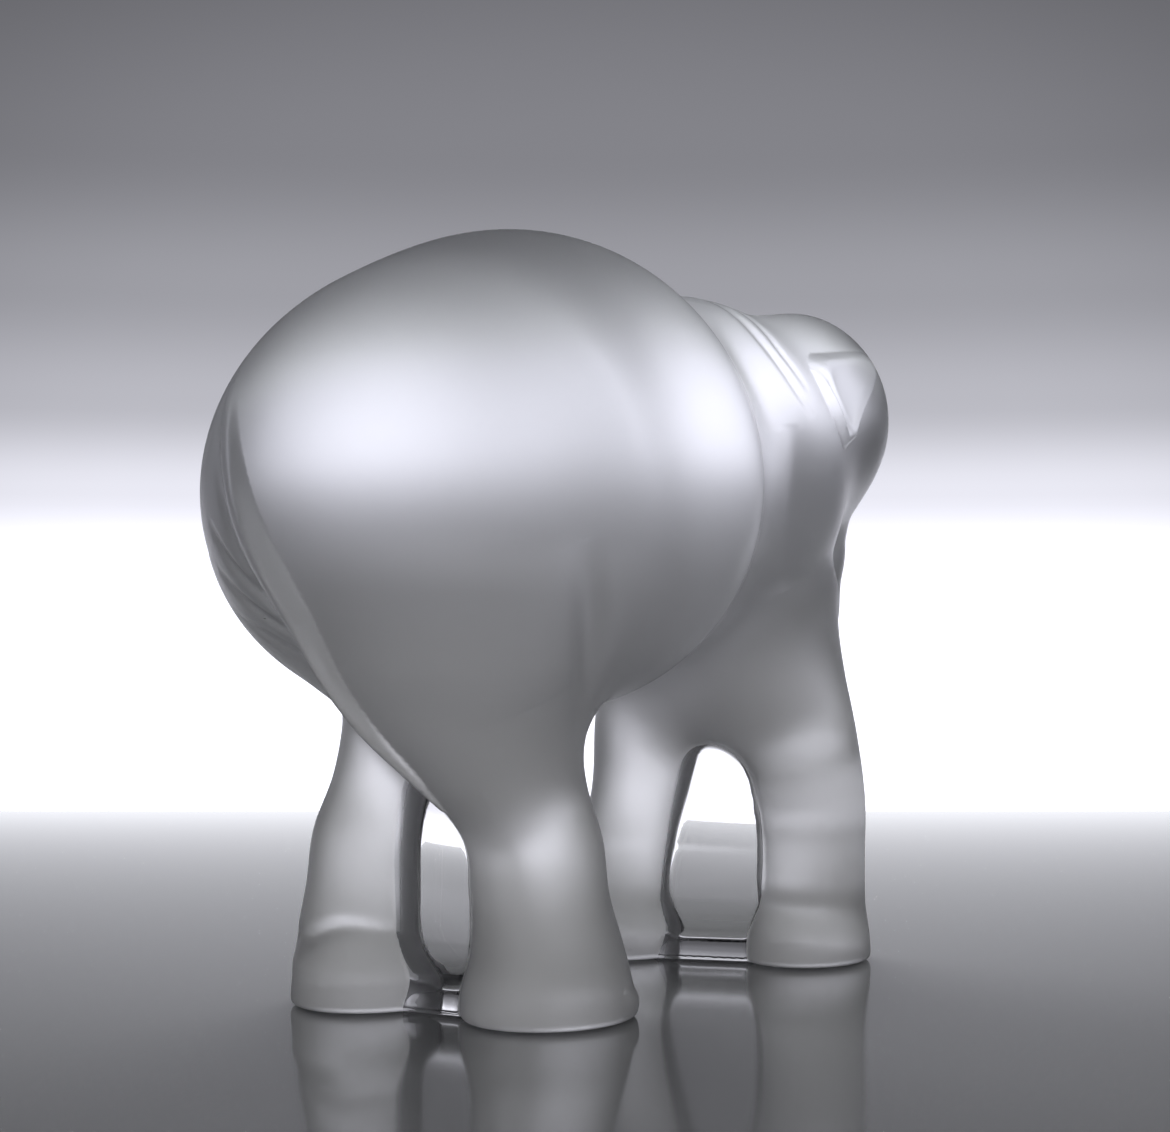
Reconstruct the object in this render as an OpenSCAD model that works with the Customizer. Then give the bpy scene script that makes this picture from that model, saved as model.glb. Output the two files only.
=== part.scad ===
// Crystal elephant figurine: one solid casting of frosted crystal, divided into the
// sculptor's own forms. The elephant walks towards -Y with +Z up, its soles on z = 0 and
// its right flank towards -X. Millimetres.
//
// Every skin is the zero level of one smooth height rule (see "Skin rule" below): soft
// ellipsoids and tapered links melted into each other. Each node is the part of that solid
// on its own side of flat dividing planes, so neighbours meet face to face.

/* [Body] */
// Half width of the rump
rump_w = 50; // [46:0.5:54]
// Half length of the rump
rump_l = 46.5; // [40:0.5:50]
// Half height of the rump
rump_h = 42.8; // [39:0.1:46]
// Height of the middle of the rump
rump_z = 95.5; // [92:0.5:100]
// How far the middle of the rump lies behind the middle of the figure
rump_y = 44.5; // [40:0.5:48]
// How far the rump leans back, degrees
rump_lean = 19; // [0:1:30]
// Half width of the belly
belly_w = 49; // [44:0.5:53]
// Half length of the belly
belly_l = 32.5; // [28:0.5:40]
// How far the top of the belly leans back, degrees
belly_lean = 15; // [0:1:25]
// Half width of the shoulders
shoulder_w = 33; // [28:0.5:38]
// Height of the middle of the shoulders
shoulder_z = 99; // [94:0.5:103]
// How softly belly and shoulders run together
soft = 13; // [8:1:18]

/* [Legs] */
// Half distance between the hind feet
hind_track = 18.5; // [16:0.5:22]
// Half distance between the front feet
fore_track = 18; // [15:0.5:21]
// How far the left hind foot is set back behind the right one
hind_stride = 9; // [0:0.5:14]
// How far the left front foot is set back behind the right one
fore_stride = 17; // [0:0.5:20]
// Radius of a hind leg at its thinnest
hind_r = 12; // [10:0.25:13.5]
// Radius of a front leg at its thinnest
fore_r = 10.5; // [9:0.25:12]
// Height of the flat joint between legs and body
leg_top = 48; // [46:0.5:50]
// Softened edge round each sole
sole_edge = 0.8; // [0.3:0.1:1.5]

/* [Head] */
// Half width of the skull
skull_w = 23; // [19:0.5:26]
// Height of the middle of the skull
skull_z = 112.5; // [108:0.5:116]
// Height of the flat joint between head and trunk
trunk_top = 88; // [84:0.5:92]
// Where the neck joint meets the top of the back
neck_y = -20; // [-24:0.5:-16]
// Slant of the neck joint, run over rise
neck_slant = 0.53; // [0.4:0.01:0.65]
// How far an ear stands off the head
ear_rise = 2.6; // [1.5:0.1:4]

/* [Trunk] */
// Radius of the trunk under the face
trunk_r = 10; // [8:0.25:12]
// Radius of the trunk at its tip
tip_r = 6.5; // [5:0.25:8]
// Height of the trunk's tip
tip_z = 8.5; // [7:0.5:14]

/* [Tail] */
// Half width of the tail at its root
tail_w = 5; // [3:0.25:7]
// How far the tail stands off the rump
tail_rise = 3; // [1.5:0.1:5]

/* [Webs] */
// Half thickness of the clear web between the hind legs
hind_web = 6; // [4:0.25:8]
// Half thickness of the clear web between the front legs
fore_web = 6; // [4:0.25:8]
// How far the foot of a web spreads
web_foot = 3; // [0:0.25:5]

/* [Hidden] */

// Moves the figure so that the middle of its box stands over the origin.
centre = [0, -8.5, 0];

frost = [0.86, 0.88, 0.9];
clear = [0.95, 0.97, 0.98];

// ---- Skin rule: distance-like functions, negative inside ----

function ell(p, c, r, lean = 0) =
    let (q = p - c, s = sin(lean), k = cos(lean),
         y = q.y * k - q.z * s, z = q.y * s + q.z * k,
         a = [q.x / r.x, y / r.y, z / r.z],
         k0 = norm(a), k1 = norm([a.x / r.x, a.y / r.y, a.z / r.z]))
    k1 < 1e-6 ? -min(r) : k0 * (k0 - 1) / k1;

function link(p, a, b, ra, rb) =
    let (ab = b - a, t = min(1, max(0, ((p - a) * ab) / (ab * ab))))
    norm(p - a - t * ab) - (ra + (rb - ra) * t);

function melt(a, b, k) =
    abs(a - b) >= k ? min(a, b)
    : let (h = (k - abs(a - b)) / k) min(a, b) - h * h * k / 4;

function body(p) =
    let (rump = ell(p, [0, rump_y, rump_z], [rump_w, rump_l, rump_h], rump_lean),
         belly = ell(p, [0, rump_y - 16.5, rump_z + 2.5], [belly_w, belly_l, 44.5], belly_lean),
         shoulder = ell(p, [0, -20, shoulder_z], [shoulder_w, 34, 37]),
         brisket = ell(p, [0, -29, 68], [19, 14.5, 22]),
         seat = ell(p, [0, rump_y, 60], [15, 13, 17]))
    melt(melt(melt(melt(rump, belly, 10), shoulder, soft), brisket, 16), seat, 6);

// A leg is a soft column: stations [height, x, y, half width, half length], foot first.
function at_height(st, z, i = 0) =
    i < len(st) - 2 && z > st[i + 1][0] ? at_height(st, z, i + 1)
    : let (p0 = st[max(0, i - 1)], p1 = st[i], p2 = st[i + 1], p3 = st[min(len(st) - 1, i + 2)],
           u = min(1, max(0, (z - p1[0]) / (p2[0] - p1[0]))))
      p1 + 0.5 * u * (p2 - p0 + u * (2 * p0 - 5 * p1 + 4 * p2 - p3
                                     + u * (3 * (p1 - p2) + p3 - p0)));
function column(p, st) =
    let (s = at_height(st, p.z), over = max(0, p.z - st[len(st) - 1][0]))
    (norm([(p.x - s[1]) / s[3], (p.y - s[2]) / s[4]]) - 1) * min(s[3], s[4]) + over * over / 12;

hr = hind_r;
fr = fore_r;
limb_rr = [[0, -hind_track, 42, hr + 3, hr + 5], [5, -hind_track, 42.5, hr + 2.6, hr + 4.4],
           [12, -hind_track - 0.5, 43, hr + 1, hr + 2.5], [22, -hind_track - 0.5, 45, hr, hr + 0.6],
           [32, -hind_track, 46, hr, hr + 0.4], [42, -14.7, 50.3, hr + 2.4, hr + 3],
           [52, -11.5, 53.5, hr + 6, hr + 7], [62, -11, 54.5, hr + 10, hr + 10],
           [76, -12, 50, hr + 13, hr + 13]];
limb_rl = [[0, hind_track - 1, 41 + hind_stride, hr + 2.3, hr + 5],
           [5, hind_track - 1, 41.5 + hind_stride, hr + 2, hr + 4],
           [12, hind_track - 0.3, 43 + hind_stride, hr + 0.5, hr + 1],
           [22, hind_track - 0.5, 42 + hind_stride, hr - 0.3, hr],
           [32, hind_track - 1, 41 + hind_stride, hr - 0.5, hr - 0.3],
           [42, 15.7, 46.2, hr - 0.3, hr + 0.2], [52, 13.3, 44, hr + 1.5, hr + 1.5],
           [62, 12.5, 43, hr + 3, hr + 3], [76, 13, 44, hr + 6, hr + 6]];
limb_fr = [[0, 1.5 - fore_track, -41, fr + 2, fr + 4], [5, 1.5 - fore_track, -41.3, fr + 1.7, fr + 3.3],
           [12, 0.8 - fore_track, -41.6, fr + 0.4, fr + 1], [22, 0.5 - fore_track, -41.8, fr, fr + 0.5],
           [33, 0.5 - fore_track, -41.5, fr + 0.5, fr + 1], [47, -16, -38, fr + 2, fr + 2.5],
           [60, -12.3, -32, fr + 2.1, fr + 2.8], [74, -10.5, -27.5, fr + 2.5, fr + 3]];
limb_fl = [[0, fore_track + 0.5, fore_stride - 41, fr + 2.2, fr + 4.2],
           [5, fore_track + 0.5, fore_stride - 41, fr + 1.9, fr + 3.5],
           [12, fore_track + 0.5, fore_stride - 40.5, fr + 0.5, fr + 1],
           [22, fore_track + 0.5, fore_stride - 43, fr + 0.3, fr + 0.5],
           [35, fore_track, -30, fr + 0.5, fr + 1], [48, 17, -32, fr + 2, fr + 2.5],
           [60, 14, -32, fr + 3, fr + 4], [74, 12, -29, fr + 4, fr + 5]];

function skull(p) =
    let (q = [abs(p.x), p.y, p.z])
    melt(melt(ell(p, [0, -54, skull_z + 1], [skull_w - 1, 23, 21]),
              ell(q, [9, -47, skull_z], [15, 22, 21.5]), 8),
         link(p, [0, -55, 106], [2, -62, 86], 16, 10.5), 9);

// The trunk hangs, then curls in until its tip meets the foot of the clear web.
trunk_path = [[2.5, -62, 88], [1.5, -62.5, 74], [-0.5, -61, 60], [-2.5, -58.5, 45],
              [-4, -55, 29], [-4.5, -52.5, tip_z + tip_r]];
function trunk_radius(i) = trunk_r + (tip_r - trunk_r) * i / (len(trunk_path) - 1);
function trunk_rule(p, i = 0) =
    let (d = link(p, trunk_path[i], trunk_path[i + 1], trunk_radius(i), trunk_radius(i + 1)))
    i == len(trunk_path) - 2 ? d : melt(d, trunk_rule(p, i + 1), 1.5);
function trunk_axis(z, i = 0) =
    let (a = trunk_path[i], b = trunk_path[i + 1])
    z < b.z && i < len(trunk_path) - 2 ? trunk_axis(z, i + 1)
    : b + (a - b) * (z - b.z) / (a.z - b.z);

function with_head(p) =
    let (b = body(p)) p.z < 70 ? b : melt(b, skull(p), 12);
function whole(p) =
    let (b = with_head(p))
    p.z > 92 ? b
    : melt(melt(melt(melt(b, column(p, limb_rr), 10), column(p, limb_rl), 6),
                column(p, limb_fr), 9), column(p, limb_fl), 9);
function face(p) = melt(skull(p), trunk_rule(p), 6);
function leg_rr(p) = melt(body(p), column(p, limb_rr), 10);
function leg_rl(p) = melt(body(p), column(p, limb_rl), 6);
function leg_fr(p) = melt(body(p), column(p, limb_fr), 9);
function leg_fl(p) = melt(body(p), column(p, limb_fl), 9);

// ---- Skin walks: rings of points where the rule is zero ----

// Walks from o along d until the skin or the limit, whichever is nearer.
function walk(f, o, d, limit, t = 0, n = 18) =
    n == 0 || t >= limit ? min(t, limit)
    : let (v = f(o + t * d))
      v > -0.004 ? min(t, limit) : walk(f, o, d, limit, t - v, n - 1);

// Distance along d to the plane through a with outward normal m.
function gap(o, d, a, m) =
    let (k = d * m) k < 1e-6 ? 1000 : ((a - o) * m) / k;

// A ring in the plane of u and v, limited by planes [[point, normal], ...].
function ring(f, o, u, v, n, planes) =
    [for (i = [0:n - 1])
        let (w = 360 * i / n, d = cos(w) * u + sin(w) * v,
             limit = max(0.2, min([for (q = concat([[o + 95 * d, d]], planes))
                                   gap(o, d, q[0], q[1])])))
        o + walk(f, o, d, limit) * d];

// A closed skin over rings of equal length, with a middle point on each end.
module skin(rings, start, end) {
    m = len(rings);
    n = len(rings[0]);
    points = [for (p = concat([start], [for (r = rings) each r], [end])) p + centre];
    faces = concat(
        [for (i = [0:n - 1]) [0, 1 + i, 1 + (i + 1) % n]],
        [for (j = [0:m - 2]) for (i = [0:n - 1])
            let (a = 1 + j * n + i, b = 1 + j * n + (i + 1) % n)
            each [[a, a + n, b + n], [a, b + n, b]]],
        [for (i = [0:n - 1]) [m * n + 1, 1 + (m - 1) * n + (i + 1) % n, 1 + (m - 1) * n + i]]);
    polyhedron(points = points, faces = faces, convexity = 6);
}

function middle(r) = [for (k = [0:2]) let (s = [for (p = r) p[k]]) (s * [for (x = s) 1]) / len(s)];

// ---- Dividing planes ----

below = 14;
floor_plane = [[0, 0, leg_top - below], [0, 0, -1]];
neck_normal = [0, -1, -neck_slant] / norm([0, 1, neck_slant]);
neck_plane = [[0, neck_y, 142], -neck_normal];
chin_plane = [[0, 0, trunk_top], [0, 0, -1]];
neck_tilt = atan(neck_slant);
spine_z = 94;
function neck_at(z) = neck_y - (142 - z) * neck_slant;

// ---- Torso ----

torso_n = 72;
rump_steps = 18;
back_steps = 36;
function torso_ring(y, tilt) =
    ring(function (p) whole(p), [0, y, spine_z], [1, 0, 0], [0, sin(tilt), cos(tilt)],
         torso_n, [floor_plane]);
module torso() {
    f = function (p) whole(p);
    tip = [0, rump_y, spine_z] + walk(f, [0, rump_y, spine_z], [0, 1, 0], 90) * [0, 1, 0];
    reach = tip.y - rump_y;
    rump_rings = [for (j = [1:rump_steps]) let (w = 90 * j / rump_steps)
        torso_ring(rump_y + reach * cos(w), 0)];
    front = neck_at(spine_z);
    back_rings = [for (j = [1:back_steps]) let (t = j / back_steps)
        torso_ring(rump_y + (front - rump_y) * t, neck_tilt * min(1, t * 1.15) )];
    color(frost) resize([0, 0, 0]) difference() {
        skin(concat(rump_rings, back_rings), tip, [0, front, spine_z]);
        translate([-100, -150, leg_top - 50]) cube([200, 300, 50]);
    }
}

// ---- Head ----

head_n = 72;
head_steps = 17;
head_mid = [0, -52, 106];
module head() {
    f = function (p) melt(with_head(p), trunk_rule(p), 6);
    start = [0, neck_at(spine_z), spine_z];
    tip = head_mid + walk(f, head_mid, [0, -1, 0], 60) * [0, -1, 0];
    rings = [for (j = [0:head_steps - 1]) let (
        t = sin(90 * j / head_steps),
        o = start + (tip - start) * t,
        tilt = neck_tilt * (1 - t))
        ring(f, o, [1, 0, 0], [0, sin(tilt), cos(tilt)], head_n, [chin_plane])];
    color(frost) skin(rings, start, tip);
}

// ---- Trunk ----

trunk_n = 32;
trunk_steps = 20;
module trunk() {
    f = function (p) face(p);
    tip = trunk_path[len(trunk_path) - 1];
    oa = axis(limb_fr, tip.z);
    ob = axis(limb_fl, tip.z);
    back = [oa.y - ob.y, ob.x - oa.x, 0] / norm(ob - oa);
    web_front_face = [(oa + ob) / 2 - fore_web * back, back];
    rings = [for (j = [0:trunk_steps]) let (
        t = pow(j / trunk_steps, 1.5),
        z = trunk_top + (tip.z - trunk_top) * t,
        o = trunk_axis(z))
        ring(f, o, [1, 0, 0], [0, 1, 0], trunk_n,
             z > 78 ? [neck_plane, web_front_face] : [web_front_face])];
    round_rings = [for (w = [25, 50, 70])
        ring(f, tip - [0, 0, tip_r * sin(w)], [1, 0, 0], [0, 1, 0], trunk_n, [web_front_face])];
    all_rings = concat(rings, round_rings);
    color(frost) skin([for (r = all_rings) [for (i = [0:trunk_n - 1]) r[trunk_n - 1 - i]]],
             middle(rings[0]), tip - [0, 0, tip_r]);
}

// ---- Ears: low flaps in relief on the sides of the head ----

ear_n = 30;
ear_rings = 8;
// Outline of a flap seen from the side, [y, z] at angle w: broad above, pointed below.
function ear_edge(w) =
    let (c = cos(w), s = sin(w),
         half = 12.5 * (s > 0 ? 1 : 1 - 0.45 * pow(-s, 1.2)),
         high = s > 0 ? 9 : 15)
    [half * c, high * s];
function ear_skin(side, q) =
    let (o = [0, q.x, q.y], d = [side, 0, 0])
    o + walk(function (p) with_head(p), o, d, 60) * d;
// Height of the flap over the head: a soft rolled rim round a slight hollow.
function ear_height(t) = ear_rise * (t < 0.72 ? 0.62 + 0.38 * pow(t / 0.72, 3)
                                     : sqrt(max(0, 1 - pow((t - 0.72) / 0.28, 2))));
module ear(side) {
    mid = [-39.5, 116.5];
    ts = [for (k = [1:ear_rings]) sin(90 * k / ear_rings)];
    low = [for (t = ts) [for (i = [0:ear_n - 1]) ear_skin(side, mid + t * ear_edge(360 * i / ear_n))]];
    high = [for (k = [0:ear_rings - 1])
        [for (p = low[k]) p + [side * max(0.25, ear_height(ts[k])), 0, 0]]];
    base = ear_skin(side, mid);
    rows = concat(low, [for (k = [ear_rings - 1:-1:0]) high[k]]);
    turned = side > 0 ? rows : [for (r = rows) [for (i = [0:ear_n - 1]) r[ear_n - 1 - i]]];
    color(frost) skin(turned, base, base + [side * ear_height(0), 0, 0]);
}
module ear_right() { ear(-1); }
module ear_left() { ear(1); }

// ---- Tail: a rope in relief, swung over the rump to the right hind leg ----

tail_path = [[8, 117], [12, 107], [12, 97], [9, 88], [5.4, 80], [2, 73.5], [-0.5, 67],
             [-1.5, 61], [-3, 55], [-5.5, 49], [-8.5, 43], [-11.5, 37.5]];
tail_half = [0.3, 0.6, 0.8, 0.85, 0.9, 0.85, 0.7, 0.6, 0.62, 0.72, 0.6, 0.2];
tail_n = 4;
tail_sub = 4;
function spline(a, t) =
    let (i = min(len(a) - 2, floor(t)), u = t - i,
         p0 = a[max(0, i - 1)], p1 = a[i], p2 = a[i + 1], p3 = a[min(len(a) - 1, i + 2)])
    p1 + 0.5 * u * (p2 - p0 + u * (2 * p0 - 5 * p1 + 4 * p2 - p3
                                   + u * (3 * (p1 - p2) + p3 - p0)));
// The rump's skin straight behind the point [x, z].
function rear_skin(x, z) =
    let (o = [x, z > 60 ? rump_y : rump_y + 1, z], d = [0, 1, 0])
    o + walk(function (p) whole(p), o, d, 60, 0, 26) * d;
module tail() {
    count = (len(tail_path) - 1) * tail_sub;
    rings = [for (j = [0:count]) let (
        t = j / tail_sub,
        m = spline(tail_path, t),
        w = tail_w * spline(tail_half, t),
        ahead = spline(tail_path, min(len(tail_path) - 1.01, t + 0.05))
                - spline(tail_path, max(0, t - 0.05)),
        across = [ahead.y, -ahead.x] / norm(ahead),
        rise = tail_rise * min(1, 0.1 + 0.45 * t, 0.2 + (count / tail_sub - t)),
        base = [for (i = [-tail_n:tail_n]) let (q = m + across * w * i / tail_n) rear_skin(q.x, q.y)],
        top = [for (i = [-tail_n:tail_n]) let (q = base[i + tail_n])
            q + [0, 0.3 + rise * sqrt(1 - pow(i / (tail_n + 0.5), 2)), 0]])
        concat(base, [for (i = [2 * tail_n:-1:0]) top[i]])];
    color(frost) skin(rings, middle(rings[0]), middle(rings[count]));
}

// ---- Legs ----

leg_n = 40;
leg_steps = 20;
function leg_levels() = concat([0, sole_edge],
    [for (j = [1:leg_steps]) sole_edge + (leg_top - sole_edge) * pow(j / leg_steps, 1.15)]);
function axis(st, z) = let (s = at_height(st, z)) [s[1], s[2], z];
module leg(f, st) {
    levels = leg_levels();
    rings = [for (z = levels) let (o = axis(st, z), r = ring(f, o, [1, 0, 0], [0, 1, 0], leg_n, []))
        z == 0 ? [for (p = r) p - sole_edge * (p - o) / norm(p - o)] : r];
    color(frost) skin(rings, axis(st, 0), axis(st, leg_top));
}
module leg_rear_right() { leg(function (p) leg_rr(p), limb_rr); }
module leg_rear_left() { leg(function (p) leg_rl(p), limb_rl); }
module leg_front_right() { leg(function (p) leg_fr(p), limb_fr); }
module leg_front_left() { leg(function (p) leg_fl(p), limb_fl); }

// ---- Clear webs between the legs of a pair ----

web_n = 4;
web_levels = [0, 1, 2, 3, 4, 5, 6.5, 8, 10, 13, 16, 20, 24, 28, 32, 36, 40, 43, 45.5, 47, leg_top];
module web(fa, fb, a, b, half) {
    rings = [for (z = web_levels) let (
        oa = axis(a, z), ob = axis(b, z),
        e = (ob - oa) / norm(ob - oa), across = [-e.y, e.x, 0],
        room = norm(ob - oa) / 2 - 0.4,
        h = half + web_foot * exp(-pow(z / 5, 2)))
        concat(
            [for (i = [-web_n:web_n]) let (o = oa + across * h * i / web_n)
                o + walk(fa, o, e, room) * e],
            [for (i = [web_n:-1:-web_n]) let (o = ob + across * h * i / web_n)
                o - walk(fb, o, -e, room) * e])];
    color(clear) skin([for (r = rings) [for (i = [len(r) - 1:-1:0]) r[i]]],
                      middle(rings[0]), middle(rings[len(rings) - 1]));
}
module web_rear() {
    web(function (p) leg_rr(p), function (p) leg_rl(p), limb_rr, limb_rl, hind_web);
}
module web_front() {
    web(function (p) leg_fr(p), function (p) leg_fl(p), limb_fr, limb_fl, fore_web);
}

torso();
head();
trunk();
ear_right();
ear_left();
tail();
leg_rear_right();
leg_rear_left();
leg_front_right();
leg_front_left();
web_rear();
web_front();
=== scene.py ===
import math

import bpy
import numpy as np
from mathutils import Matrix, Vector


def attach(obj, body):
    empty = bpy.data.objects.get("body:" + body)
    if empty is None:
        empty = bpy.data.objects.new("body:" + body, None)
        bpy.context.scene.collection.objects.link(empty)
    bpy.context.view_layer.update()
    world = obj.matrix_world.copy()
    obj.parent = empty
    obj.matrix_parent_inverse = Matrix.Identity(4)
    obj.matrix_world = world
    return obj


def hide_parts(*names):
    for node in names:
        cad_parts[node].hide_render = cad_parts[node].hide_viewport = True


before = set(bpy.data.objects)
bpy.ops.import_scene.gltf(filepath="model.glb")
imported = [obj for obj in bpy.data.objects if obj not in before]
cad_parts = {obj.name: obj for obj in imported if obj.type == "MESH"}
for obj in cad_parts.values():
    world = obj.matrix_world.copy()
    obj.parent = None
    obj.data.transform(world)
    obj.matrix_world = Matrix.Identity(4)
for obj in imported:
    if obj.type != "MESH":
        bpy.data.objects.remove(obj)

# The figurine is one solid casting. Its skin is the zero level of one smooth rule, the rule of
# part.scad with the fine modelling added: ears, wrinkles, tail and feet. The skin is meshed once,
# then cut into the frame's pieces. Each piece is an open patch of that one closed skin, so light
# crosses from glass to air only once. Rules are in millimetres, with y pointing to the rear, and
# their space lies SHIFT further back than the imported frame.
SHIFT = 8.5
PITCH = 0.85
BOX_LOW = np.array([-53.0, -79.0, -2.4])
BOX_HIGH = np.array([53.0, 97.0, 146.0])

# Where one form ends and the next begins.
MIDDLE_Y = 5.0
LEG_TOP = 48.0
TRUNK_TOP = 88.0
NECK_Y = -20.0
NECK_TOP = 142.0
NECK_SLANT = 0.53
TAIL_Y = 40.0
TAIL_LOW = 30.0
TAIL_HIGH = 122.0
EAR_OUT = 12.0
EAR_Y = -20.0

# How widely forms run into each other.
WEB_MELT = 1.0
SOLE_MELT = 1.6
TRUNK_MELT = 6.0
HEAD_MELT = 12.0

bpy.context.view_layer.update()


# ---- Rules: like a distance to the skin, negative inside ----

def size_of(v):
    return np.sqrt((v * v).sum(-1))


def ell(p, c, r, lean=0.0):
    """An ellipsoid at c with radii r, leaning back by some degrees."""
    q = p - np.array(c)
    s, k = math.sin(math.radians(lean)), math.cos(math.radians(lean))
    turned = (q[:, 0], q[:, 1] * k - q[:, 2] * s, q[:, 1] * s + q[:, 2] * k)
    a = np.stack([t / x for t, x in zip(turned, r)], -1)
    k0 = size_of(a)
    return k0 * (k0 - 1) / np.maximum(size_of(a / np.array(r)), 1e-6)


def along(p, a, b):
    """How far along the line from a to b each point is, 0 to 1, and how far off it."""
    t = np.clip(((p - a) @ (b - a)) / ((b - a) @ (b - a)), 0, 1)
    return t, size_of(p - a - t[:, None] * (b - a))


def link(p, a, b, ra, rb):
    """A rod with round ends, of radius ra at a and rb at b."""
    t, off = along(p, np.array(a, float), np.array(b, float))
    return off - (ra + (rb - ra) * t)


def melt(a, b, k):
    """The union of two rules, with a soft fillet about k wide."""
    h = np.maximum(k - np.abs(a - b), 0) / k
    return np.minimum(a, b) - h * h * k / 4


def body(p):
    d = melt(ell(p, [0, 44.5, 95.5], [50, 46.5, 42.8], 19),
             ell(p, [0, 28, 98], [49, 32.5, 44.5], 15), 10)
    d = melt(d, ell(p, [0, -15, 99], [36, 37, 37]), 17)
    d = melt(d, ell(p, [0, -29, 68], [19, 14.5, 22]), 16)
    return melt(d, ell(p, [0, 44.5, 60], [15, 13, 17]), 6)


# Legs: stations of height, x, y, half width and half length, foot first.
REAR_RIGHT = [[0, -18.5, 42, 15, 17], [5, -18.5, 42.5, 14.6, 16.4], [12, -19, 43, 13, 14.5],
              [22, -19, 45, 12, 12.6], [32, -18.6, 46.5, 12.1, 12.6], [42, -15.5, 51, 14.4, 15.2],
              [52, -13.3, 55.5, 18.2, 19], [62, -13.5, 58, 22, 22], [76, -14.5, 56, 25, 25]]
REAR_LEFT = [[0, 17.5, 50, 14.3, 17], [5, 17.5, 50.5, 14, 16], [12, 18.2, 52, 12.5, 13],
             [22, 18, 51, 11.7, 12], [32, 17.5, 50, 11.5, 11.7], [42, 15.7, 46.2, 11.7, 12.2],
             [52, 13.3, 44, 13.5, 13.5], [62, 12.5, 43, 15, 15], [76, 13, 44, 18, 18]]
FRONT_RIGHT = [[0, -16.5, -41, 12.5, 14.5], [5, -16.5, -41.3, 12.2, 13.8],
               [12, -17.2, -41.6, 10.9, 11.5], [22, -17.5, -41.8, 10.5, 11],
               [33, -17.5, -41, 11, 11.5], [46, -16.3, -38, 12, 12.8],
               [59, -14, -33.5, 13.6, 15], [74, -12, -29, 14, 16]]
FRONT_LEFT = [[0, 18.5, -24, 12.7, 14.7], [5, 18.5, -24, 12.4, 14], [12, 18.5, -23.5, 11, 11.5],
              [22, 18.5, -26, 10.8, 11], [35, 18, -30, 11, 11.5], [48, 17, -32, 12.5, 13],
              [60, 14, -32, 13.5, 14.5], [74, 12, -29, 14.5, 15.5]]
LIMBS = [(REAR_RIGHT, 13), (REAR_LEFT, 6), (FRONT_RIGHT, 12), (FRONT_LEFT, 9)]


def spline(rows, t):
    """The rows as a smooth curve, read at t, which counts rows."""
    rows = np.array(rows, float)
    last = len(rows) - 1
    i = np.clip(t.astype(int), 0, last - 1)
    u = np.clip(t - i, 0, 1)[:, None]
    p0, p1 = rows[np.maximum(i - 1, 0)], rows[i]
    p2, p3 = rows[i + 1], rows[np.minimum(i + 2, last)]
    curve = p2 - p0 + u * (2 * p0 - 5 * p1 + 4 * p2 - p3 + u * (3 * (p1 - p2) + p3 - p0))
    return p1 + 0.5 * u * curve


def station(rows, z):
    """A leg's row at each height."""
    heights = np.array(rows, float)[:, 0]
    return spline(rows, np.interp(z, heights, np.arange(len(heights))))


def column(p, rows):
    s = station(rows, p[:, 2])
    over = np.maximum(0, p[:, 2] - rows[-1][0])
    k = np.hypot((p[:, 0] - s[:, 1]) / s[:, 3], (p[:, 1] - s[:, 2]) / s[:, 4]) - 1
    return k * np.minimum(s[:, 3], s[:, 4]) + over * over / 12


def skull(p):
    q = p.copy()
    q[:, 0] = np.abs(q[:, 0])
    d = melt(ell(p, [0, -54, 113.5], [22, 23, 21]), ell(q, [9, -47, 112.5], [15, 22, 21.5]), 8)
    return melt(d, link(p, [0, -55, 106], [2, -62, 86], 16, 10.5), 9)


TRUNK = [[2.5, -62, 88], [1.5, -62.5, 74], [-0.5, -61, 60], [-2.5, -58.5, 45],
         [-4, -55, 29], [-4.5, -52.5, 15]]
TRUNK_R = [10, 9.3, 8.6, 7.9, 7.2, 6.5]


def trunk(p):
    d = link(p, TRUNK[0], TRUNK[1], TRUNK_R[0], TRUNK_R[1])
    for i in range(1, len(TRUNK) - 1):
        d = melt(d, link(p, TRUNK[i], TRUNK[i + 1], TRUNK_R[i], TRUNK_R[i + 1]), 1.5)
    return d


def limbs_on(d, p):
    for rows, k in LIMBS:
        d = np.where(p[:, 2] > 92, d, melt(d, column(p, rows), k))
    return d


def web(p, a, b, half):
    """The clear slab between two legs: its flat faces run along the line between them."""
    oa, ob = station(a, p[:, 2]), station(b, p[:, 2])
    e = ob[:, 1:3] - oa[:, 1:3]
    reach = size_of(e)
    e = e / reach[:, None]
    q = p[:, :2] - (oa[:, 1:3] + ob[:, 1:3]) / 2
    across = np.abs(q[:, 0] * e[:, 1] - q[:, 1] * e[:, 0])
    along = np.abs((q * e).sum(-1)) - reach / 2
    wide = half + 3.0 * np.exp(-((p[:, 2] / 5) ** 2))
    return np.maximum(np.maximum(across - wide, along), p[:, 2] - LEG_TOP - 8)


def webs(p):
    rear = web(p, REAR_RIGHT, REAR_LEFT, 6)
    front = web(p, FRONT_RIGHT, FRONT_LEFT, 6)
    return np.where(p[:, 1] > MIDDLE_Y, rear, front)


# ---- Fine modelling ----

# The tail: [x, height, half width, rise], down the rump and on to the right hind leg.
TAIL = [[21, 112, 3.0, 0.1], [17, 105, 3.8, 0.5], [13, 97.5, 4.4, 1.1], [9.5, 90, 4.7, 1.9],
        [6, 83, 4.6, 2.6], [2.5, 76.5, 4.3, 3.1], [-0.5, 70, 3.7, 3.1], [-2.5, 63.5, 3.1, 2.9],
        [-4, 57, 2.9, 2.7], [-6, 50.5, 3.0, 2.6], [-8.5, 44, 2.7, 2.1], [-11, 38, 1.2, 0.9]]

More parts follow.
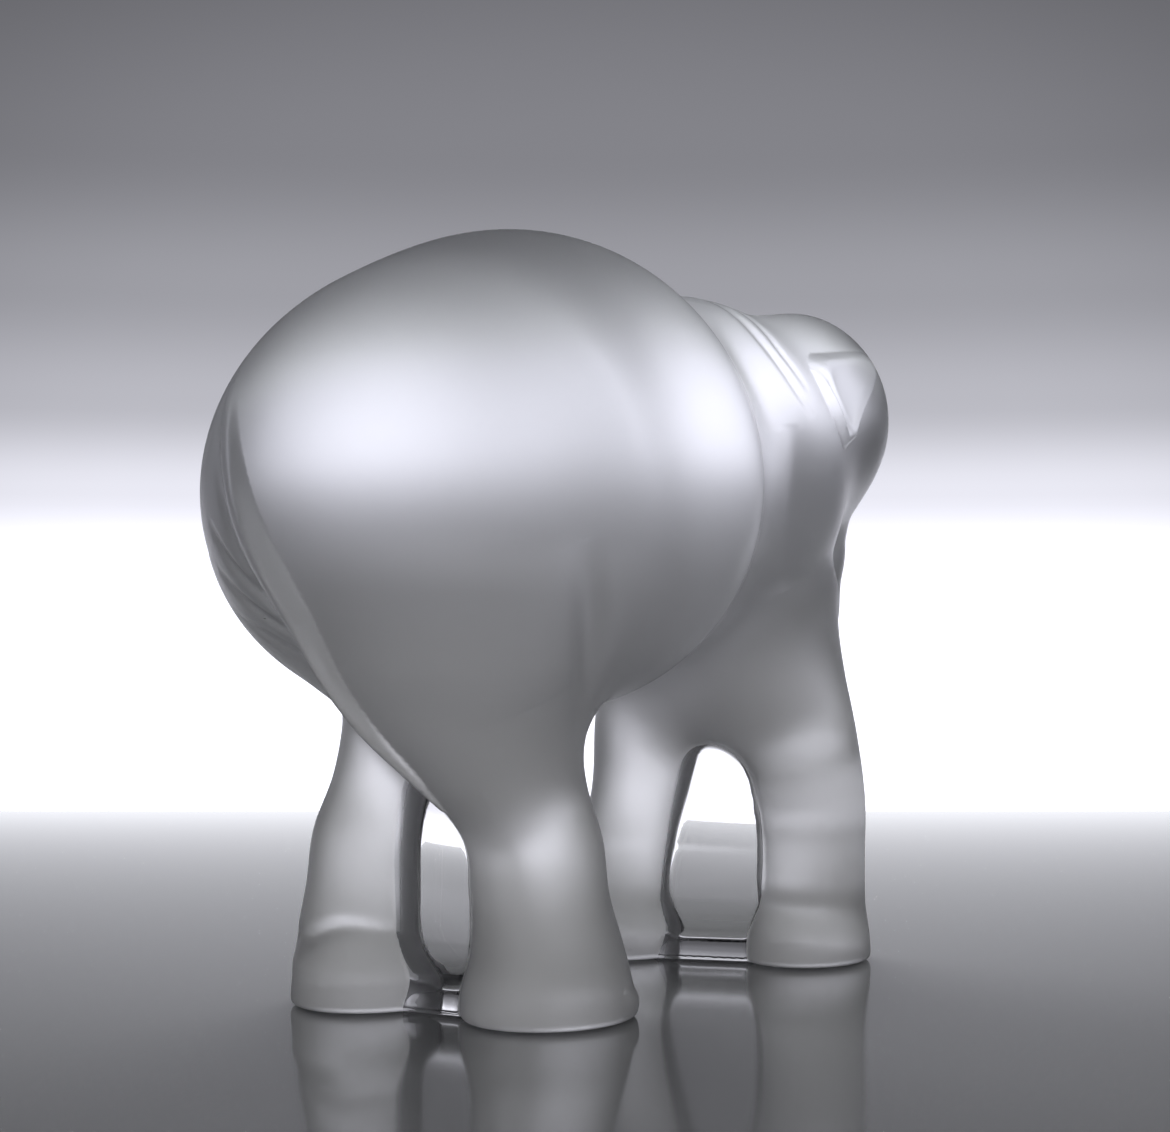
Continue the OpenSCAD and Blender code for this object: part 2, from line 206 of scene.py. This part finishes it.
# Creases (rise below 0) and ridges (rise above 0): [half width, rise, points of the line].
# These are the same on both flanks. Points are [y, height].
FLANK_LINES = [
    [1.2, -0.55, [[-17, 136], [-14, 131], [-12.5, 124], [-14.5, 115], [-18, 110]]],
    [1.1, -0.4, [[-20, 134], [-17.5, 128], [-16.5, 122], [-19, 115]]],
    [5.0, -0.8, [[-6, 134], [-3, 125], [-1, 116], [-2, 106]]],
    [3.6, -0.7, [[-9.5, 108], [-8.5, 98], [-10, 88], [-15, 76]]],
    [3.2, -1.2, [[63.5, 84], [61.5, 77], [58, 70], [54, 63], [49, 55], [47, 48]]],
    [9.0, 0.6, [[73, 84], [71, 75], [68, 66], [63, 56]]],
    [1.6, 0.6, [[28, 3.0], [33, 3.5], [38, 6.0]]],
]
# These are on the rear. Points are [x, height].
REAR_LINES = [
    [1.1, -1.0, [[24, 88], [16, 80], [8, 74.5], [1, 69.5]]],
    [1.0, -0.9, [[25, 80], [16, 74], [8, 70], [0, 67]]],
    [1.0, -0.7, [[26, 72], [17, 69], [8, 66], [0, 64]]],
    [1.8, -1.1, [[28, 11.5], [21, 12.5], [13, 15], [6, 13.5]]],
    [2.2, 0.7, [[26, 7.5], [19, 8.5], [11, 9.5]]],
]


def skin(p):
    """Everything frosted but the tail."""
    b = body(p)
    d = np.where(p[:, 2] < 70, b, melt(b, skull(p), HEAD_MELT))
    d = melt(limbs_on(d, p), trunk(p), TRUNK_MELT)
    return d - ear_relief(p) - creases(p)


def line_relief(q, half, rise, line):
    """A soft groove or ridge along a flat line of points, fading out at both ends."""
    line = spline(line, np.linspace(0, len(line) - 1.001, 6 * len(line)))
    out = np.zeros(len(q))
    near = ((q > line.min(0) - 3 * half) & (q < line.max(0) + 3 * half)).all(1)
    if not near.any():
        return out
    q = q[near]
    best = np.full(len(q), 1e9)
    place = np.zeros(len(q))
    for i, (a, b) in enumerate(zip(line[:-1], line[1:])):
        t, off = along(q, a, b)
        closer = off < best
        best = np.where(closer, off, best)
        place = np.where(closer, i + t, place)
    fade = np.sin(np.pi * np.clip(place / (len(line) - 1), 0, 1)) ** 0.8
    out[near] = rise * fade * np.exp(-((best / half) ** 2))
    return out


def creases(p):
    """All the creases and ridges. They fade out towards the middle and the front."""
    total = np.zeros(len(p))
    flank = np.clip((np.abs(p[:, 0]) - 6) / 6, 0, 1)
    rear = np.clip((p[:, 1] - 44) / 6, 0, 1)
    for half, rise, line in FLANK_LINES:
        total += flank * line_relief(p[:, [1, 2]], half, rise, line)
    for half, rise, line in REAR_LINES:
        total += rear * line_relief(p[:, [0, 2]], half, rise, line)
    return total


def corner(a, b, k):
    """The overlap of two rules, with its corner rounded."""
    return -melt(-a, -b, k)


def past(p, y, z, back, up):
    """In a side view, how far a point is past the line through (y, z) that faces (back, up)."""
    return (p[:, 1] - y) * back + (p[:, 2] - z) * up


def by_ears(p):
    return (np.abs(p[:, 0]) > EAR_OUT) & (p[:, 1] < EAR_Y)


def ear_outline(p):
    """Below 0 inside the flap: broad above, with its point down and to the rear."""
    top = past(p, -45, 126.5, 0.12, 0.99)
    rear = past(p, -24.5, 117, 0.93, -0.37)
    front = past(p, -50.5, 116, -0.62, -0.79)
    return corner(corner(top, rear, 12), front, 8) + 0.6


def ear_relief(p):
    """A flap with a rolled rim, a hollow inside it, a fold at the rear and a ridge in front."""
    d = ear_outline(p)
    rim = 1 - (1 + np.maximum(d, -3.0) / 3.0) ** 2
    hollow = 1.3 * np.clip((-d - 1.6) / 4.5, 0, 1) ** 0.8
    rear = past(p, -25, 117, 0.93, -0.37)
    fold = np.exp(-(((rear + 4.2) / 1.3) ** 2)) * np.clip(-d / 3, 0, 1)
    front = past(p, -50.5, 116.5, -0.6, -0.8)
    ridge = 0.8 * np.exp(-(((front + 1.6) / 1.4) ** 2)) * np.clip((126 - p[:, 2]) / 8, 0, 1)
    return np.where(by_ears(p) & (d < 0), rim * (2.5 + ridge) - hollow - fold, 0)


def tail_share(p):
    """Across the tail, -1 to 1 from edge to edge, and the tail's half width and rise."""
    spots = spline(TAIL, np.linspace(0, len(TAIL) - 1.001, 90))
    best = np.full(len(p), 1e9)
    share, width, rise = np.full(len(p), 9.0), np.ones(len(p)), np.zeros(len(p))
    view = p[:, [0, 2]]
    for a, b in zip(spots[:-1], spots[1:]):
        t, off = along(view, a[:2], b[:2])
        half = a[2] + (b[2] - a[2]) * t
        off = off / half
        closer = off < best
        q, d = view - a[:2], b[:2] - a[:2]
        side = np.sign(q[:, 0] * d[1] - q[:, 1] * d[0])
        best = np.where(closer, off, best)
        share = np.where(closer, off * side, share)
        width = np.where(closer, half, width)
        rise = np.where(closer, a[3] + (b[3] - a[3]) * t, rise)
    return share, width, rise


def tail_relief(p):
    """A rope with a sharper ridge on its right, and a groove along its left edge."""
    near = (p[:, 1] > TAIL_Y) & (np.abs(p[:, 0]) < 30)
    near &= (p[:, 2] > TAIL_LOW) & (p[:, 2] < TAIL_HIGH)
    out = np.zeros(len(p))
    if near.any():
        share, width, rise = tail_share(p[near])
        rope = np.maximum(0, 1 - share ** 2) ** 1.5
        ridge = 0.3 * np.exp(-(((share - 0.4) / 0.35) ** 2))
        groove = 0.3 * np.exp(-(((share + 1.2) * width / 1.5) ** 2))
        out[near] = rise * (rope + ridge * rope - groove)
    return out


def figure(p):
    """The whole skin, cut flat at the soles."""
    d = melt(skin(p) - tail_relief(p), webs(p), WEB_MELT)
    return -melt(-d, p[:, 2], SOLE_MELT)


# ---- The skin as one mesh ----

def fill(rule):
    """The rule on a grid. Only blocks near the skin are worked out point by point."""
    block = 4
    n = [int(math.ceil(s / (PITCH * block))) * block for s in BOX_HIGH - BOX_LOW]
    axes = [BOX_LOW[i] + PITCH * np.arange(n[i]) for i in range(3)]
    mids = [a.reshape(-1, block).mean(1) for a in axes]
    coarse = np.stack(np.meshgrid(*mids, indexing="ij"), -1).reshape(-1, 3)
    rough = rule(coarse).reshape([len(m) for m in mids])
    value = rough.repeat(block, 0).repeat(block, 1).repeat(block, 2)
    near = np.abs(rough) < PITCH * block * 1.35 + 1.2
    near = near.repeat(block, 0).repeat(block, 1).repeat(block, 2)
    i, j, k = np.nonzero(near)
    value[near] = rule(np.stack([axes[0][i], axes[1][j], axes[2][k]], -1))
    return value


def net(value):
    """Surface net: a point in each cell that the skin crosses, a quad for each crossed edge."""
    inside = value < 0
    nx, ny, nz = [s - 1 for s in value.shape]
    count = np.zeros((nx, ny, nz), np.int8)
    for i in (0, 1):
        for j in (0, 1):
            for k in (0, 1):
                count += inside[i:nx + i, j:ny + j, k:nz + k]
    mixed = (count > 0) & (count < 8)
    index = np.full(mixed.shape, -1)
    index[mixed] = np.arange(mixed.sum())
    points = BOX_LOW + (np.argwhere(mixed) + 0.5) * PITCH
    quads = []
    for axis in range(3):
        turn = [axis, (axis + 1) % 3, (axis + 2) % 3]
        a = inside.transpose(turn)
        cells = index.transpose(turn)
        here, ahead = a[:-1, 1:-1, 1:-1], a[1:, 1:-1, 1:-1]
        for flip in (False, True):
            crossing = (here & ~ahead) if not flip else (~here & ahead)
            i, j, k = np.nonzero(crossing)
            ring = [cells[i, j, k], cells[i, j + 1, k], cells[i, j + 1, k + 1], cells[i, j, k + 1]]
            quads.append(np.stack(ring[::-1] if flip else ring, -1))
    return points, np.concatenate(quads)


def slope(rule, p, step=0.12):
    """The rule's gradient."""
    g = np.zeros_like(p)
    for k in range(3):
        d = np.zeros(3)
        d[k] = step
        g[:, k] = rule(p + d) - rule(p - d)
    return g / (2 * step)


def settle(rule, p, rounds, limit):
    """Moves points on to the skin along the rule's slope."""
    for _ in range(rounds):
        g = slope(rule, p)
        step = rule(p)[:, None] * g / np.maximum((g * g).sum(-1), 0.04)[:, None]
        far = size_of(step)[:, None]
        p = p - step * np.minimum(1, limit / np.maximum(far, 1e-9))
    return p


def relax(p, quads, share):
    """Moves each point towards the mean of its neighbours."""
    total = np.zeros_like(p)
    number = np.zeros(len(p))
    for i in range(4):
        a, b = quads[:, i], quads[:, (i + 1) % 4]
        for x, y in ((a, b), (b, a)):
            for k in range(3):
                total[:, k] += np.bincount(x, p[y, k], len(p))
            number += np.bincount(x, minlength=len(p))
    return p + share * (total / number[:, None] - p)


def cut(points, tris, value, snap):
    """Splits the triangles along the line where value is zero, one value a point."""
    value = np.where(np.abs(value) < snap, 0.0, value)
    sign = np.sign(value)
    pairs = np.sort(np.stack([tris, np.roll(tris, -1, 1)], -1), -1)
    crossed = sign[pairs[..., 0]] * sign[pairs[..., 1]] < 0
    key = pairs[..., 0] * len(points) + pairs[..., 1]
    wanted, place = np.unique(key[crossed], return_inverse=True)
    a, b = wanted // len(points), wanted % len(points)
    t = (value[a] / (value[a] - value[b]))[:, None]
    fresh = points[a] + (points[b] - points[a]) * t
    mid = np.full(tris.shape, -1)
    mid[crossed] = len(points) + place
    number = crossed.sum(1)
    out = [tris[number == 0]]
    for turn in range(3):
        c = np.roll(tris, -turn, 1)
        m = np.roll(mid, -turn, 1)
        two = (number == 2) & (m[:, 0] >= 0) & (m[:, 2] >= 0)
        v, w = c[two], m[two]
        out += [np.stack([v[:, 0], w[:, 0], w[:, 2]], 1),
                np.stack([w[:, 0], v[:, 1], v[:, 2]], 1),
                np.stack([w[:, 0], v[:, 2], w[:, 2]], 1)]
        one = (number == 1) & (m[:, 1] >= 0)
        v, w = c[one], m[one]
        out += [np.stack([v[:, 0], v[:, 1], w[:, 1]], 1),
                np.stack([v[:, 0], w[:, 1], v[:, 2]], 1)]
    return np.concatenate([points, fresh]), np.concatenate(out)


# ---- Where each piece begins and ends: negative inside the piece ----

def web_side(p):
    return np.maximum(webs(p) - skin(p), p[:, 2] - LEG_TOP - 6)


def tail_side(p):
    away = (p[:, 1] < TAIL_Y) | (p[:, 2] < TAIL_LOW)
    return np.where(away, 5.0, (np.abs(tail_share(p)[0]) - 1) * 3)


def ear_side(p):
    return np.where(by_ears(p), ear_outline(p), 5.0)


def neck_side(p):
    return (p[:, 1] - NECK_Y + (NECK_TOP - p[:, 2]) * NECK_SLANT) / math.hypot(1, NECK_SLANT)


def trunk_side(p):
    rest = limbs_on(body(p), p)
    return np.maximum(p[:, 2] - TRUNK_TOP, np.minimum(skull(p), trunk(p)) - rest)


def leg_side(p):
    return p[:, 2] - LEG_TOP


SIDES = [tail_side, ear_side, web_side, trunk_side, neck_side, leg_side]


def name_faces(mid):
    """The piece that each face belongs to, by its middle."""
    right, rear = mid[:, 0] < 0, mid[:, 1] > MIDDLE_Y
    names = np.full(len(mid), "torso", object)
    names[leg_side(mid) < 0] = "leg"
    legs = names == "leg"
    names[legs & rear & right] = "leg_rear_right"
    names[legs & rear & ~right] = "leg_rear_left"
    names[legs & ~rear & right] = "leg_front_right"
    names[legs & ~rear & ~right] = "leg_front_left"
    names[(neck_side(mid) < 0) & (mid[:, 2] > TRUNK_TOP)] = "head"
    names[(trunk_side(mid) < 0) & ~rear] = "trunk"
    clear = web_side(mid) < 0
    names[clear & rear] = "web_rear"
    names[clear & ~rear] = "web_front"
    ears = ear_side(mid) < 0
    names[ears & right] = "ear_right"
    names[ears & ~right] = "ear_left"
    names[tail_side(mid) < 0] = "tail"
    return names


points, quads = net(fill(figure))
points = settle(figure, points, 2, PITCH)
for _ in range(3):
    points = settle(figure, relax(points, quads, 0.6), 1, PITCH)
points = settle(figure, points, 1, PITCH)
tris = np.concatenate([quads[:, [0, 1, 2]], quads[:, [0, 2, 3]]])
for side in SIDES:
    points, tris = cut(points, tris, side(points), PITCH * 0.1)
normals = slope(figure, points)
normals /= np.maximum(size_of(normals), 1e-9)[:, None]
labels = name_faces(points[tris].mean(1))
placed = (points - [0, SHIFT, 0]) * 0.001


def make_piece(name, material):
    faces = tris[labels == name]
    used, faces = np.unique(faces, return_inverse=True)
    faces = faces.reshape(-1, 3)
    mesh = bpy.data.meshes.new(name + "_skin")
    mesh.from_pydata(placed[used].tolist(), [], faces.tolist())
    mesh.polygons.foreach_set("use_smooth", np.ones(len(faces), bool))
    mesh.materials.append(material)
    mesh.update()
    mesh.normals_split_custom_set_from_vertices(normals[used].tolist())
    piece = bpy.data.objects.new(name + "_skin", mesh)
    bpy.context.scene.collection.objects.link(piece)
    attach(piece, "root")
    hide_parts(name)
    return piece


# ---- Materials ----

GLASS_IOR = 1.54
# The frosting grows coarser and hazier between these heights, in metres, going down. Over the same
# heights the glass colour is painted lighter going down: painted light that brightens the legs
# against the body.
FINE_ABOVE = 0.105
COARSE_BELOW = 0.04


def shader(name):
    material = bpy.data.materials.new(name)
    material.use_nodes = True
    tree = material.node_tree
    return material, tree, tree.nodes["Principled BSDF"]


def ranged(tree, source, low, high, socket):
    """Feeds a socket with source, 0 to 1, stretched to run from low to high."""
    reach = tree.nodes.new("ShaderNodeMapRange")
    reach.inputs["To Min"].default_value = low
    reach.inputs["To Max"].default_value = high
    tree.links.new(source, reach.inputs["Value"])
    tree.links.new(reach.outputs["Result"], socket)


def frosted_crystal():
    """Acid-frosted glass. The frosting is coarser on the legs than on the body. On top of a random
    tone, the colour is painted lighter on the legs than on the body, as painted light.
    """
    material, tree, glass = shader("frosted_crystal")
    glass.inputs["IOR"].default_value = GLASS_IOR
    place = tree.nodes.new("ShaderNodeTexCoord")
    cloud = tree.nodes.new("ShaderNodeTexNoise")
    cloud.inputs["Scale"].default_value = 28
    cloud.inputs["Detail"].default_value = 3
    tree.links.new(place.outputs["Object"], cloud.inputs["Vector"])
    split = tree.nodes.new("ShaderNodeSeparateXYZ")
    tree.links.new(place.outputs["Object"], split.inputs["Vector"])
    leg = tree.nodes.new("ShaderNodeMapRange")
    leg.interpolation_type = "SMOOTHSTEP"
    leg.inputs["From Min"].default_value = COARSE_BELOW
    leg.inputs["From Max"].default_value = FINE_ABOVE
    leg.inputs["To Min"].default_value = 1.0
    leg.inputs["To Max"].default_value = 0.0
    tree.links.new(split.outputs["Z"], leg.inputs["Value"])
    grain_and_leg = tree.nodes.new("ShaderNodeMath")
    grain_and_leg.operation = "MULTIPLY_ADD"
    grain_and_leg.inputs[1].default_value = 0.25
    tree.links.new(cloud.outputs["Fac"], grain_and_leg.inputs[0])
    tree.links.new(leg.outputs["Result"], grain_and_leg.inputs[2])
    ranged(tree, grain_and_leg.outputs["Value"], 0.32, 0.42, glass.inputs["Roughness"])
    ranged(tree, leg.outputs["Result"], 0.94, 0.86, glass.inputs["Transmission Weight"])
    # Painted light: by height, the base colour is lighter on the legs and darker on the body. Only
    # the noise part is the glass's own random tone.
    tone_and_painted_leg_light = tree.nodes.new("ShaderNodeMix")
    tone_and_painted_leg_light.data_type = "RGBA"
    tone_and_painted_leg_light.inputs["A"].default_value = (0.91, 0.92, 0.945, 1)
    tone_and_painted_leg_light.inputs["B"].default_value = (0.985, 0.985, 0.99, 1)
    tree.links.new(grain_and_leg.outputs["Value"], tone_and_painted_leg_light.inputs["Factor"])
    tree.links.new(tone_and_painted_leg_light.outputs["Result"], glass.inputs["Base Color"])
    return material


def clear_crystal():
    """Polished glass with a faint unevenness in its shine."""
    material, tree, glass = shader("clear_crystal")
    glass.inputs["IOR"].default_value = GLASS_IOR
    glass.inputs["Transmission Weight"].default_value = 1.0
    place = tree.nodes.new("ShaderNodeTexCoord")
    wave = tree.nodes.new("ShaderNodeTexNoise")
    wave.inputs["Scale"].default_value = 60
    tree.links.new(place.outputs["Object"], wave.inputs["Vector"])
    ranged(tree, wave.outputs["Fac"], 0.0, 0.03, glass.inputs["Roughness"])
    return material


frosted, clear = frosted_crystal(), clear_crystal()
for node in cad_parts:
    polished = node.startswith("web")
    piece = make_piece(node, clear if polished else frosted)


# ---- Stage ----

# The level direction in which the camera looks.
LOOK = (0.6494, -0.7604)


def make_floor():
    """A plain pale table top. It ends a hand's breadth behind the figure."""
    mesh = bpy.data.meshes.new("floor")
    back, front, side = 0.355, -2.5, 2.5
    corners = [(back, -side), (back, side), (front, side), (front, -side)]
    spots = [(LOOK[0] * a - LOOK[1] * b, LOOK[1] * a + LOOK[0] * b, -0.0002) for a, b in corners]
    mesh.from_pydata(spots, [], [(0, 1, 2, 3)])
    material, tree, paint = shader("floor")
    paint.inputs["Base Color"].default_value = (0.1, 0.102, 0.106, 1)
    paint.inputs["Roughness"].default_value = 0.1
    paint.inputs["IOR"].default_value = 2.3
    mesh.materials.append(material)
    floor = bpy.data.objects.new("floor", mesh)
    bpy.context.scene.collection.objects.link(floor)
    return floor


def grey_ramp(tree, source, low, high, steps):
    """A smooth grey scale over source, given as pairs of value and grey."""
    reach = tree.nodes.new("ShaderNodeMapRange")
    reach.inputs["From Min"].default_value = low
    reach.inputs["From Max"].default_value = high
    tree.links.new(source, reach.inputs["Value"])
    ramp = tree.nodes.new("ShaderNodeValToRGB")
    ramp.color_ramp.interpolation = "EASE"
    marks = ramp.color_ramp.elements
    while len(marks) < len(steps):
        marks.new(0.5)
    for mark, (at, grey) in zip(marks, steps):
        mark.position = (at - low) / (high - low)
        mark.color = (grey, grey, grey * 1.05, 1)
    tree.links.new(reach.outputs["Result"], ramp.inputs["Fac"])
    return ramp.outputs["Color"]


def make_world():
    """A soft glow on the horizon behind the figure, fading upwards and to the sides."""
    world = bpy.data.worlds.new("studio")
    bpy.context.scene.world = world
    world.use_nodes = True
    tree = world.node_tree
    sky = tree.nodes["Background"]
    place = tree.nodes.new("ShaderNodeTexCoord")
    split = tree.nodes.new("ShaderNodeSeparateXYZ")
    tree.links.new(place.outputs["Generated"], split.inputs["Vector"])
    height = grey_ramp(tree, split.outputs["Z"], -0.2, 1.0,
                       [(-0.2, 1.4), (-0.02, 1.4), (0.02, 1.05), (0.05, 0.72), (0.09, 0.43),
                        (0.14, 0.3), (0.2, 0.2), (0.32, 0.14), (0.5, 0.18), (0.65, 0.4),
                        (0.85, 0.5)])
    ahead = tree.nodes.new("ShaderNodeVectorMath")
    ahead.operation = "DOT_PRODUCT"
    ahead.inputs[1].default_value = (LOOK[0], LOOK[1], 0)
    tree.links.new(place.outputs["Generated"], ahead.inputs[0])
    round_about = grey_ramp(tree, ahead.outputs["Value"], -1, 1,
                            [(-1.0, 0.5), (-0.6, 0.35), (-0.2, 0.06), (0.4, 0.04), (0.75, 0.2),
                             (0.92, 0.7), (0.98, 1.0)])
    glow = tree.nodes.new("ShaderNodeMix")
    glow.data_type = "RGBA"
    glow.blend_type = "MULTIPLY"
    glow.inputs["Factor"].default_value = 1.0
    tree.links.new(height, glow.inputs["A"])
    tree.links.new(round_about, glow.inputs["B"])
    tree.links.new(glow.outputs["Result"], sky.inputs["Color"])
    sky.inputs["Strength"].default_value = 1.15


def soft_box(name, size, energy, distance, height, aim):
    """An area light, distance metres along LOOK, that only matt surfaces show."""
    data = bpy.data.lights.new(name, "AREA")
    data.shape = "RECTANGLE"
    data.size, data.size_y = size
    data.energy = energy
    light = bpy.data.objects.new(name, data)
    light.location = (LOOK[0] * distance, LOOK[1] * distance, height)
    light.rotation_mode = "QUATERNION"
    light.rotation_quaternion = (Vector(aim) - light.location).to_track_quat("-Z", "Y")
    light.visible_camera = False
    light.visible_transmission = False
    light.visible_glossy = False
    bpy.context.scene.collection.objects.link(light)
    return light


def make_strip(floor):
    """A long soft box over the back edge of the table. It lights the table only."""
    aim = (LOOK[0] * 0.28, LOOK[1] * 0.28, 0)
    strip = soft_box("soft_box", (1.1, 0.14), 26.0, 0.45, 0.12, aim)
    table = bpy.data.collections.new("table")
    table.objects.link(floor)
    strip.light_linking.receiver_collection = table


def make_fill():
    """A low soft box on the camera's side, for the haze of the frosting."""
    soft_box("fill", (0.8, 0.4), 9.0, -0.9, 0.2, (0, 0, 0.06))


def make_camera():
    data = bpy.data.cameras.new("camera")
    data.lens = 67.7
    data.sensor_width = 36
    data.shift_y = 0.0325
    camera = bpy.data.objects.new("camera", data)
    camera.location = (-0.27805, 0.32772, 0.0736)
    camera.rotation_mode = "QUATERNION"
    camera.rotation_quaternion = Vector((LOOK[0], LOOK[1], 0)).to_track_quat("-Z", "Y")
    bpy.context.scene.collection.objects.link(camera)
    bpy.context.scene.camera = camera


make_world()
make_strip(make_floor())
make_fill()
make_camera()
bpy.context.scene.view_settings.view_transform = "Standard"
